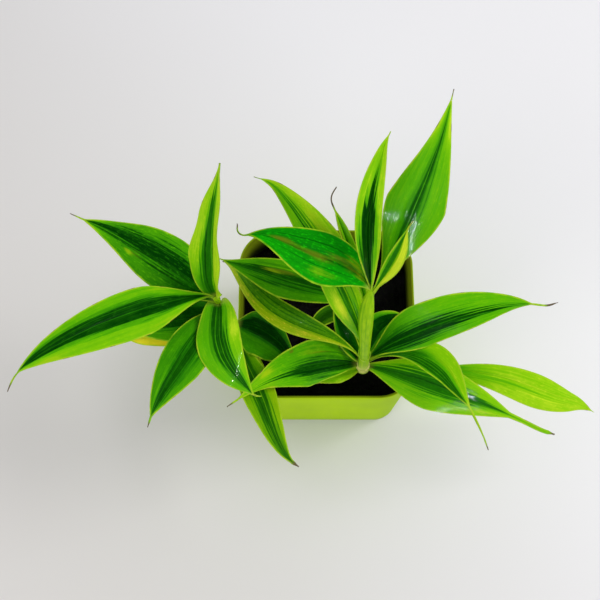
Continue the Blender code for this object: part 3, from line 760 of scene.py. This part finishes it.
def soil_material():
    """Damp, nearly black soil with faint dark brown lumps."""
    made, tree, shader = new_material("damp_soil")
    place = node(tree, "ShaderNodeTexCoord").outputs["Object"]
    lumps = noise_at(tree, place, scale=420.0, detail=5.0, roughness=0.65)
    wide = noise_at(tree, place, scale=60.0, detail=3.0)
    color = ramp(tree, lumps, ((0.35, (0.0008, 0.0007, 0.0006)), (0.6, (0.003, 0.0025, 0.002)), (0.8, (0.02, 0.013, 0.008))))
    color = blend(tree, stretch(tree, wide, 0.5, 0.75, 0.0, 0.4), color, (0.004, 0.003, 0.002, 1.0))
    tree.links.new(color, shader.inputs["Base Color"])
    tree.links.new(stretch(tree, lumps, 0.3, 0.7, 0.6, 0.95), shader.inputs["Roughness"])
    shader.inputs["Specular IOR Level"].default_value = 0.2
    bump = node(tree, "ShaderNodeBump", {"Height": lumps, "Strength": 0.9, "Distance": 0.8 * MM})
    tree.links.new(bump.outputs[0], shader.inputs["Normal"])
    return made


def floor_material():
    """Pale table, its colour lighter toward the right and the back as a painted light falloff, with a faint random
    cloudiness.
    """
    made, tree, shader = new_material("pale_table")
    place = node(tree, "ShaderNodeTexCoord").outputs["Object"]
    cloud = noise_at(tree, place, scale=3.0, detail=2.0)
    across, along = node(tree, "ShaderNodeSeparateXYZ", {0: place}).outputs[:2]
    # The slant paints the light falloff: darker warm grey at the front left, lighter at the back right.
    slant = calculate(tree, "MULTIPLY_ADD", along, 0.7, across)
    side = calculate(tree, "MULTIPLY_ADD", cloud, 0.2, stretch(tree, slant, -0.3, 0.25, 0.0, 0.8))
    color = ramp(tree, side, ((0.0, (0.665, 0.64, 0.62)), (1.0, (0.86, 0.85, 0.875))))
    tree.links.new(color, shader.inputs["Base Color"])
    shader.inputs["Roughness"].default_value = 0.6
    shader.inputs["Specular IOR Level"].default_value = 0.2
    return made


# Pot and soil

def pot_ring(height, inset):
    """Ring of the tapering wall at a height, moved inward from the outer face."""
    share = height / POT_HEIGHT
    width = BASE_WIDTH + (RIM_WIDTH - BASE_WIDTH) * share
    corner = BASE_CORNER + (RIM_CORNER - BASE_CORNER) * share
    return rounded_square(width - 2 * inset, corner - inset, height)


def build_pot():
    """Thin-walled pot with rounded foot and rim, and a small lip inside."""
    top = POT_HEIGHT
    inner = WALL - LIP_STEP
    turns = np.radians(ROUND_TURNS)
    rings = [pot_ring(FOOT_ROUND * (1 - np.cos(turn)), FOOT_ROUND * (1 - np.sin(turn))) for turn in turns]
    rings += [pot_ring(height, 0.0) for height in np.linspace(10.0, 90.0, 9)]
    rings += [pot_ring(top - EDGE_ROUND * (1 - np.sin(turn)), EDGE_ROUND * (1 - np.cos(turn))) for turn in turns]
    small = EDGE_ROUND / 2
    rings += [pot_ring(top - small * (1 - np.cos(turn)), inner - small * (1 - np.sin(turn))) for turn in turns]
    rings.append(pot_ring(top - LIP_DEPTH, inner))
    rings.append(pot_ring(top - LIP_DEPTH - LIP_STEP, WALL))
    rings += [pot_ring(height, WALL) for height in (80.0, 60.0, 30.0)]
    for turn in turns:
        rings.append(pot_ring(FLOOR + FOOT_ROUND * (1 - np.sin(turn)), WALL + FOOT_ROUND * (1 - np.cos(turn))))
    points, faces = stacked(rings)
    item = mesh_object("lime_pot", points, faces, pot_material())
    outer = len(turns) + 9
    # Painted shade strength: none on the outer wall, rising over the rounded rim top, full on the inner edge, inner
    # wall and floor.
    painted_shade = [0.0] * outer + [0.9 * np.sin(turn) ** 4 for turn in turns] + [1.0] * (len(rings) - outer - len(turns))
    add_values(item, "pot_painted_shade", np.repeat(painted_shade, len(rings[0])))
    settle(item, "pot")


def soil_height(x, y):
    """Top of the soil: a low mound with shallow dips."""
    swell = SOIL_MOUND * (1 - (x * x + y * y) / MOUND_REACH ** 2)
    wide = DIP_WIDE * np.sin(x * 0.19 + 1.3) * np.cos(y * 0.23 - 0.4)
    narrow = DIP_NARROW * np.sin(x * 0.41 - y * 0.37)
    return SOIL_TOP - SOIL_SINK + swell + wide + narrow


def soil_relief(x, y):
    """Crumbly roughness of the soil's top."""
    coarse = perlin.fractal(Vector((x * 0.22, y * 0.22, 0.0)), 0.8, 2.1, 4)
    return SOIL_RELIEF * (coarse + 0.5 * perlin.noise(Vector((x * 0.9, y * 0.9, 7.0))))


def soil_wall_ring(height, inset):
    """Ring of the soil block beside the pot's wall."""
    return pot_ring(height, WALL + SOIL_GAP + inset)


def soil_top_ring(share):
    """Ring of the soil's top, drawn in toward the middle."""
    ring = soil_wall_ring(SOIL_TOP, 0.0)
    ring[:, :2] *= share
    ring[:, 2] = soil_height(ring[:, 0], ring[:, 1])
    ring[:, 2] += [soil_relief(x, y) for x, y in ring[:, :2]]
    return ring


def build_soil(surface):
    """Crumbly soil that fills the pot."""
    foot = FLOOR + SOIL_GAP
    rings = [soil_wall_ring(foot, FOOT_ROUND), soil_wall_ring(foot + FOOT_ROUND, 0.0)]
    for step in range(SOIL_RINGS):
        rings.append(soil_top_ring(1.0 - step / SOIL_RINGS))
    points, faces = stacked(rings)
    settle(mesh_object("crumbly_soil", points, faces, surface), "potting_soil")


def build_crumbs(surface):
    """Loose crumbs half sunk in the soil, each a dented lump."""
    draw = np.random.default_rng(11)
    sphere = unit_sphere(6, 5)
    points, faces = [], []
    half = RIM_WIDTH / 2 - WALL - SOIL_GAP - 5.0
    for index in range(CRUMB_COUNT):
        x, y = draw.uniform(-half, half, 2)
        if np.hypot(max(abs(x) - half + 20, 0), max(abs(y) - half + 20, 0)) > 20:
            continue
        size = CRUMB_SMALL + (CRUMB_LARGE - CRUMB_SMALL) * draw.random() ** 3
        shape = sphere[0] * size * draw.uniform(0.6, 1.25, (len(sphere[0]), 1)) * draw.uniform(0.6, 1.2, 3)
        turn = draw.uniform(0, 2 * np.pi)
        spin = np.array([[np.cos(turn), -np.sin(turn), 0], [np.sin(turn), np.cos(turn), 0], [0, 0, 1]])
        level = soil_height(x, y) + soil_relief(x, y) + 0.2 * size
        start = len(sphere[0]) * len(points)
        points.append(shape @ spin.T + (x, y, level))
        faces += [tuple(start + k for k in face) for face in sphere[1]]
    item = mesh_object("soil_crumbs", np.concatenate(points), faces, surface)
    settle(item, "potting_soil")


def unit_sphere(sides, levels):
    """Points and faces of a coarse ball."""
    points = [(0.0, 0.0, -1.0)]
    for level in range(1, levels):
        rise = np.pi * level / levels - np.pi / 2
        for side in range(sides):
            turn = 2 * np.pi * side / sides
            points.append((np.cos(rise) * np.cos(turn), np.cos(rise) * np.sin(turn), np.sin(rise)))
    points.append((0.0, 0.0, 1.0))
    faces = [(0, 1 + (k + 1) % sides, 1 + k) for k in range(sides)]
    for level in range(levels - 2):
        low = 1 + level * sides
        for k in range(sides):
            after = (k + 1) % sides
            faces.append((low + k, low + after, low + sides + after, low + sides + k))
    top = len(points) - 1
    low = top - sides
    faces += [(low + k, low + (k + 1) % sides, top) for k in range(sides)]
    return np.array(points), faces


# Stems

def stem_axis(shoot, height):
    """Point of the stem's curved axis at a height above the table."""
    foot, bend, crown = (np.array(shoot[key], float) for key in ("foot", "bend", "crown"))
    if height <= foot[2]:
        return np.array([foot[0], foot[1], height])
    t = np.linspace(0.0, 1.0, AXIS_STEPS)[:, None]
    curve = (1 - t) ** 2 * foot + 2 * t * (1 - t) * bend + t ** 2 * crown
    lean = curve[-1] - curve[-2]
    if height >= crown[2]:
        return curve[-1] + lean * (height - crown[2]) / lean[2]
    return np.array([np.interp(height, curve[:, 2], curve[:, axis]) for axis in range(3)])


def stem_radius(shoot, height):
    """Stem radius: a slow taper, with each leaf sheath flaring up to its leaf."""
    crown = shoot["crown"][2]
    share = np.clip((height - SOIL_TOP) / (crown - SOIL_TOP), 0.0, 1.0)
    radius = FOOT_RADIUS + (CROWN_RADIUS - FOOT_RADIUS) * share
    if height < SOIL_TOP:
        return radius
    nodes = [SOIL_TOP] + list(shoot["nodes"])
    for low, high in zip(nodes, nodes[1:]):
        if low <= height < high:
            radius += SHEATH_FLARE * (height - low) / (high - low)
    return radius


def build_stem(shoot, surface):
    """Upright cane with a ridge at each node, ending in a blunt growing tip."""
    top = shoot["top"]
    nodes = np.array(shoot["nodes"], float)
    levels = np.arange(STEM_FOOT, top, STEM_STEP)
    rings, pale, scars = [], [], []
    for level in levels:
        ridge = bump_at(nodes, level, NODE_WIDTH).sum()
        radius = stem_radius(shoot, level) + NODE_RIDGE * ridge
        rings.append(disc(stem_axis(shoot, level), radius, STEM_SIDES))
        pale.append(0.75 * bump_at(level, PALE_LEVEL, PALE_REACH))
        scars.append(bump_at(nodes, level - 0.8, 0.6).sum())
    for rise, share in TIP_RINGS:
        rings.append(disc(stem_axis(shoot, top + rise), CROWN_RADIUS * share, STEM_SIDES))
        pale.append(0.0)
        scars.append(0.0)
    points, faces = stacked(rings)
    item = mesh_object(shoot["name"] + "_cane", points, faces, surface)
    turn = np.tile(np.linspace(0, 2 * np.pi, STEM_SIDES, endpoint=False), len(rings))
    place = np.stack([FOOT_RADIUS * np.cos(turn), points[:, 2], FOOT_RADIUS * np.sin(turn)], 1)
    add_values(item, "stem_place", place)
    add_values(item, "stem_pale", np.repeat(pale, STEM_SIDES))
    add_values(item, "stem_scar", np.clip(np.repeat(scars, STEM_SIDES), 0, 1))
    settle(item, shoot["name"])


def sheath_grid(shoot, form, rows=14, cols=36):
    """Outer face of the sheath that holds one leaf to the stem, highest on the leaf's side."""
    turns = np.radians(np.linspace(-SHEATH_TURN, SHEATH_TURN, cols))
    grid = np.zeros((rows, cols, 3))
    for j, turn in enumerate(turns):
        top = form["height"] + SHEATH_REACH - SHEATH_DROP * (1 - np.cos(turn)) / 2
        low = form["height"] - SHEATH_LENGTH
        for i, share in enumerate(np.linspace(0.0, 1.0, rows)):
            level = low + (top - low) * share
            radius = stem_radius(shoot, level) + 0.15 + 0.75 * share ** 2
            angle = np.radians(form["compass"]) + turn
            grid[i, j] = stem_axis(shoot, level) + radius * np.array([np.cos(angle), np.sin(angle), 0.0])
    return grid


def build_sheaths(shoot, surface):
    """Pale leaf sheaths that wrap the stem under each leaf."""
    points, faces, place, pale = [], [], [], []
    for number, form in enumerate(LEAVES):
        if form["shoot"] != shoot["name"] or form["height"] > SHEATH_LIMIT:
            continue
        grid = sheath_grid(shoot, form)
        rows, cols = grid.shape[:2]
        outward = np.cross(np.gradient(grid, axis=1), np.gradient(grid, axis=0))
        outward /= np.linalg.norm(outward, axis=2, keepdims=True)
        start = sum(len(block) for block in points)
        inner = grid - outward * SHEATH_SKIN
        points.append(np.concatenate([grid.reshape(-1, 3), inner.reshape(-1, 3)]))
        faces += [tuple(start + k for k in face[::-1]) for face in skin_faces(rows, cols)]
        share = np.repeat(np.linspace(0.0, 1.0, rows), cols)
        wrap = np.tile(np.linspace(0.0, 24.0, cols), rows)
        one = np.stack([wrap, share * SHEATH_LENGTH, np.full(rows * cols, 20.0 * number)], 1)
        place.append(np.concatenate([one, one]))
        cream = 0.8 * bump_at(form["height"], PALE_LEVEL, PALE_REACH)
        pale.append(np.tile(0.1 + cream * (0.4 + 0.6 * share), 2))
    item = mesh_object(shoot["name"] + "_sheaths", np.concatenate(points), faces, surface)
    add_values(item, "stem_place", np.concatenate(place))
    add_values(item, "stem_pale", np.concatenate(pale))
    add_values(item, "stem_scar", np.zeros(len(item.data.vertices)))
    settle(item, shoot["name"])


def build_crown_sheath(shoot, surface, rows=60, cols=40):
    """Smooth spindle of folded leaf bases round the upper stem, open at the back."""
    turns = np.radians(np.linspace(-FUNNEL_TURN, FUNNEL_TURN, cols))
    grid = np.zeros((rows, cols, 3))
    for j, turn in enumerate(turns):
        side = (1 - np.cos(turn)) / 2
        top = shoot["top"] - FUNNEL_DROP * side
        for i, share in enumerate(np.linspace(0.0, 1.0, rows)):
            level = FUNNEL_LOW + (top - FUNNEL_LOW) * share
            swell = np.sin(np.pi * share ** FUNNEL_SKEW)
            radius = FUNNEL_FOOT + (FUNNEL_HEAD - FUNNEL_FOOT) * share + FUNNEL_FLARE * swell
            angle = np.radians(FUNNEL_FACE) + turn
            middle = stem_axis(shoot, level) - np.array([FUNNEL_LEAN * swell, 0.0, 0.0])
            grid[i, j] = middle + radius * np.array([np.cos(angle), np.sin(angle), 0.0])
    outward = np.cross(np.gradient(grid, axis=1), np.gradient(grid, axis=0))
    outward /= np.linalg.norm(outward, axis=2, keepdims=True)
    inner = grid - outward * SHEATH_SKIN
    faces = [tuple(face[::-1]) for face in skin_faces(rows, cols)]
    points = np.concatenate([grid.reshape(-1, 3), inner.reshape(-1, 3)])
    item = mesh_object(shoot["name"] + "_funnel", points, faces, surface)
    rise = np.repeat(np.linspace(0.0, 1.0, rows), cols) * FUNNEL_SPAN
    wrap = np.tile(turns * FOOT_RADIUS, rows)
    place = np.stack([wrap, rise, np.full(rows * cols, 5.0)], 1)
    add_values(item, "stem_place", np.concatenate([place, place]))
    cream = 0.7 * bump_at(FUNNEL_LOW + rise, PALE_LEVEL, PALE_REACH)
    add_values(item, "stem_pale", np.tile(cream, 2))
    across = np.degrees(np.tile(turns, rows))
    shade = 0.75 * bump_at(across, -58.0, 13.0) + 0.5 * bump_at(across, -24.0, 5.0) + 0.3 * bump_at(across, 12.0, 4.0)
    shade *= smoothstep(rise / 30.0) * smoothstep((FUNNEL_SPAN - rise) / 12.0)
    add_values(item, "stem_shade", np.tile(shade, 2))
    add_values(item, "stem_scar", np.zeros(2 * rows * cols))
    settle(item, shoot["name"])


# Leaves

def directions(rise, head):
    """Unit vectors along a leaf from its elevations and headings in radians."""
    return np.stack([np.cos(rise) * np.cos(head), np.cos(rise) * np.sin(head), np.sin(rise)], 1)


def midrib(form, stations):
    """Midrib points, elevations and headings at shares of the leaf's length."""
    s = (np.arange(FINE_STEPS) + 0.5) / FINE_STEPS
    bend = EVEN_BEND * s + (1 - EVEN_BEND) * smoothstep(s)
    rise = form["launch"] + (form["fall"] - form["launch"]) * bend
    rise = rise + (SHEATH_RISE - rise) * (1 - smoothstep(s / SHEATH_SHARE)) * form["clasp"]
    head = form["compass"] + form["sway"] * np.clip(s / form["turn"], 0, 1) ** SWAY_POWER
    head = head + form["hook"] * smoothstep((s - HOOK_START) / HOOK_SHARE) + form["bow"] * np.sin(2 * np.pi * s)
    rise = np.radians(rise)
    head = np.radians(head)
    steps = np.cumsum(directions(rise, head), 0) * form["length"] / FINE_STEPS
    path = np.vstack([np.zeros((1, 3)), steps])
    ends = np.linspace(0.0, 1.0, FINE_STEPS + 1)
    points = np.stack([np.interp(stations, ends, path[:, axis]) for axis in range(3)], 1)
    return points, np.interp(stations, s, rise), np.interp(stations, s, head)


def half_widths(form, s):
    """Half width along the leaf: narrow neck, belly, long point, thread-like drip tip."""
    u = np.clip(s / (1 - form["drip"]), 0.0, 1.0)
    growth = np.sin(np.pi / 2 * np.clip(u / form["belly"], 0, 1)) ** form["swell"]
    lower = form["neck"] + (1 - form["neck"]) * growth
    t = np.clip((u - form["belly"]) / (1 - form["belly"]), 0.0, 1.0)
    upper = (1 - t ** form["blunt"]) ** POINT_POWER
    width = np.where(u < form["belly"], lower, upper) * form["width"]
    point = np.clip((1 - s) / THREAD_POINT, THREAD_END, 1)
    return np.maximum(width, form["tail"] * (1 - THREAD_TAPER * s) * point) / 2


def leaf_root(form):
    """Where the midrib starts, just inside the stem's surface."""
    turn = np.radians(form["compass"])
    outward = np.array([np.cos(turn), np.sin(turn), 0.0])
    shoot = SHOOT_BY_NAME[form["shoot"]]
    return stem_axis(shoot, form["height"]) + ROOT_SHARE * stem_radius(shoot, form["height"]) * outward


def blade_grid(form, stations, columns):
    """Middle surface of a blade: folded, arched and waved across its midrib."""
    s = np.asarray(stations, float)
    points, rise, head = midrib(form, s)
    flat = np.stack([-np.sin(head), np.cos(head), np.zeros_like(head)], 1)
    above = np.cross(directions(rise, head), flat)
    roll = (form["roll"] + form["twist"] * (s - TWIST_MIDDLE)) * smoothstep(s / ROLL_SHARE)
    roll = np.radians(roll)[:, None]
    side = flat * np.cos(roll) + above * np.sin(roll)
    above = above * np.cos(roll) - flat * np.sin(roll)
    half = half_widths(form, s)
    fold = form["fold"] * (1 - FOLD_EASE * s) + CLASP_FOLD * np.exp(-(s / CLASP_SHARE) ** 2) * form["clasp"]
    fold = np.radians(np.minimum(fold, STEEPEST_FOLD))
    grid = np.zeros((len(s), len(columns), 3))
    for j, v in enumerate(columns):
        cycle = form["waves"] * s + EDGE_SHIFT * np.sign(v) + form["phase"]
        ripple = form["wave"] * v * v * np.sin(2 * np.pi * cycle) * np.sin(np.pi * s)
        groove = CREASE * bump_at(v, 0.0, CREASE_WIDTH) * np.clip(half / half.max(), 0, 1)
        out = half * v * (1 + form["skew"] * np.sign(v)) * np.cos(fold)
        up = half * (abs(v) * np.sin(fold) - form["arch"] * v * v) + ripple - groove
        grid[:, j] = points + side * out[:, None] + above * up[:, None]
    return grid + leaf_root(form)


def skin_faces(rows, cols):
    """Quads of two skins and of the narrow edge between them."""
    index = np.arange(rows * cols).reshape(rows, cols)
    under = rows * cols
    a, b, c, d = index[:-1, :-1], index[1:, :-1], index[1:, 1:], index[:-1, 1:]
    top = np.stack([a, b, c, d], -1).reshape(-1, 4)
    low = np.stack([a, d, c, b], -1).reshape(-1, 4) + under
    ring = np.concatenate([index[0, :-1], index[:-1, -1], index[-1, :0:-1], index[:0:-1, 0]])
    after = np.roll(ring, -1)
    rim = np.stack([ring, after, after + under, ring + under], -1)
    return np.concatenate([top, low, rim]).tolist()


def margin_tone(marks, s, v):
    """Tone of the two margins with their soft blotches."""
    side = smoothstep((v + 0.12) / 0.24)
    tone = marks["right"] * (1 - side) + marks["left"] * side
    return tone + blotches(marks["spots"], s, v)


def band_depth(marks, s, v):
    """How far a point lies inside the dark centre band, as a share of the half blade."""
    reach = marks["band"] * (1 - marks["taper"] * s)
    middle = marks["centre"] + marks["drift"] * (s - 0.5)
    early = np.clip((s - marks["start"]) / 0.2, -1, 1)
    late = np.clip((marks["stop"] - s) / 0.25, -1, 1)
    return reach * np.minimum(early, late) - abs(v - middle)


def blotches(marks, s, v):
    """Sum of soft bells, each given by its place along and across, its sizes and its strength."""
    total = np.zeros_like(s)
    for along, across, long, broad, strength in marks:
        total = total + strength * bump_at(s, along, long) * bump_at(v, across, broad)
    return total


def build_leaf(number, form, surface):
    """Fine blade of one leaf with its markings."""
    marks = {**PLAIN_MARKS, **MARKS[form["name"]]}
    rows = max(48, int(form["length"] / LENGTH_STEP))
    cols = 2 * max(7, int(form["width"] / WIDTH_STEP / 2)) + 1
    columns = np.linspace(-1.0, 1.0, cols)
    stations = np.linspace(0.0, 1.0, rows)
    grid = blade_grid(form, stations, columns)
    normal = np.cross(np.gradient(grid, axis=0), np.gradient(grid, axis=1))
    normal /= np.linalg.norm(normal, axis=2, keepdims=True)
    rib = RIB_SKIN * bump_at(columns, 0.0, 0.22)[None, :, None]
    upper = grid + normal * SKIN / 2
    lower = grid - normal * (SKIN / 2 + rib)
    points = np.concatenate([upper.reshape(-1, 3), lower.reshape(-1, 3)])
    item = mesh_object(form["name"] + "_leaf", points, skin_faces(rows, cols), surface)
    s = np.tile(np.repeat(stations, cols), 2)
    v = np.tile(np.tile(columns, rows), 2)
    under = np.repeat([0.0, 1.0], rows * cols)
    half = np.tile(np.repeat(half_widths(form, stations), cols), 2)
    inward = half * (1 - abs(v))
    broad = np.full_like(s, form["width"] / 2)
    place = np.stack([v * (0.6 * broad + 0.4 * half), s * form["length"], 37.0 * number + 9.0 * under], 1)
    add_values(item, "leaf_share", np.stack([s, v, under], 1))
    add_values(item, "leaf_place", place)
    add_values(item, "leaf_edge", inward)
    add_values(item, "leaf_tone", margin_tone(marks, s, v))
    add_values(item, "leaf_band", band_depth(marks, s, v))
    for name in ("core", "flame", "mottle"):
        add_values(item, "leaf_" + name, np.full_like(s, marks[name]))
    add_values(item, "leaf_tint", np.tile(marks["tint"], (len(s), 1)))
    add_values(item, "leaf_glow", blotches(marks["glow"], s, v))
    add_values(item, "leaf_rust", blotches(marks["rust"], s, v))
    fade = np.sqrt(np.sin(np.pi * np.clip(s, 0, 1)))
    for slot in range(LINE_SLOTS):
        middle, reach, change = marks["lines"][slot] if slot < len(marks["lines"]) else NO_LINE
        line = [np.full_like(s, middle), np.full_like(s, reach), change * fade]
        add_values(item, f"leaf_line_{slot}", np.stack(line, 1))
    add_values(item, "leaf_dry", smoothstep((s - 1 + marks["dry"]) / 0.03))
    add_values(item, "leaf_pale", 0.8 * (1 - smoothstep((s - marks["pale"] / 2) / max(marks["pale"], 0.01))))
    settle(item, form["shoot"])


# Stage

def build_floor():
    """Pale table under the pot."""
    reach = 1500.0
    corners = [(-reach, -reach, 0), (reach, -reach, 0), (reach, reach, 0), (-reach, reach, 0)]
    floor = mesh_object("table", corners, [(0, 1, 2, 3)], floor_material())


def build_world():
    """Even pale light from all round, weaker in reflections."""
    world = bpy.data.worlds.new("studio")
    bpy.context.scene.world = world
    world.use_nodes = True
    tree = world.node_tree
    background = tree.nodes["Background"]
    background.inputs["Color"].default_value = (0.98, 0.99, 1.0, 1.0)
    glossy = node(tree, "ShaderNodeLightPath").outputs["Is Glossy Ray"]
    strength = calculate(tree, "MULTIPLY_ADD", glossy, WORLD_GLOSSY - WORLD_LIGHT, WORLD_LIGHT)
    tree.links.new(strength, background.inputs["Strength"])


def area_light(name, place, aim, size, power, color, diffuse, glossy):
    """Square light that faces a point, with or without its soft light and its reflections."""
    data = bpy.data.lights.new(name, "AREA")
    data.size = size * MM
    data.energy = power
    data.color = color
    light = bpy.data.objects.new(name, data)
    bpy.context.scene.collection.objects.link(light)
    start = Vector(place) * MM
    light.visible_diffuse = diffuse
    light.visible_glossy = glossy
    light.location = start
    light.rotation_euler = (Vector(aim) * MM - start).to_track_quat("-Z", "Y").to_euler()


def build_lights():
    """Low window light from the front left, a soft ceiling light and a small lamp that gives the leaves glints."""
    area_light("window", (-900, -750, 520), (0, 0, 120), 600, WINDOW_POWER, (1.0, 0.99, 0.97), True, False)
    area_light("ceiling", (900, 150, 1200), (60, 0, 100), 600, CEILING_POWER, (1.0, 1.0, 1.0), True, False)
    area_light("lamp", (40, -735, 665), (40, 0, 200), 45, LAMP_POWER, (1.0, 1.0, 1.0), False, True)


def build_camera():
    """Camera that looks steeply down on the plant."""
    data = bpy.data.cameras.new("camera")
    data.lens = CAMERA_LENS
    data.sensor_width = SENSOR
    data.clip_start = 0.01
    camera = bpy.data.objects.new("camera", data)
    bpy.context.scene.collection.objects.link(camera)
    camera.location = Vector(CAMERA_PLACE) * MM
    camera.rotation_euler = (np.radians(CAMERA_TILT), 0.0, 0.0)
    bpy.context.scene.camera = camera


def main():
    """Dress the part and light it."""
    build_pot()
    soil = soil_material()
    build_soil(soil)
    build_crumbs(soil)
    cane = stem_material()
    satin = leaf_material("satin_leaf", SATIN_COAT)
    glossy = leaf_material("glossy_leaf", GLOSSY_COAT)
    for shoot in SHOOTS:
        build_stem(shoot, cane)
        build_sheaths(shoot, cane)
    build_crown_sheath(SHOOT_BY_NAME[RIGHT], cane)
    for number, form in enumerate(LEAVES):
        build_leaf(number, form, glossy if form["name"] in GLOSSY_LEAVES else satin)
    build_floor()
    build_world()
    build_lights()
    build_camera()
    bpy.context.scene.view_settings.view_transform = "Standard"


main()
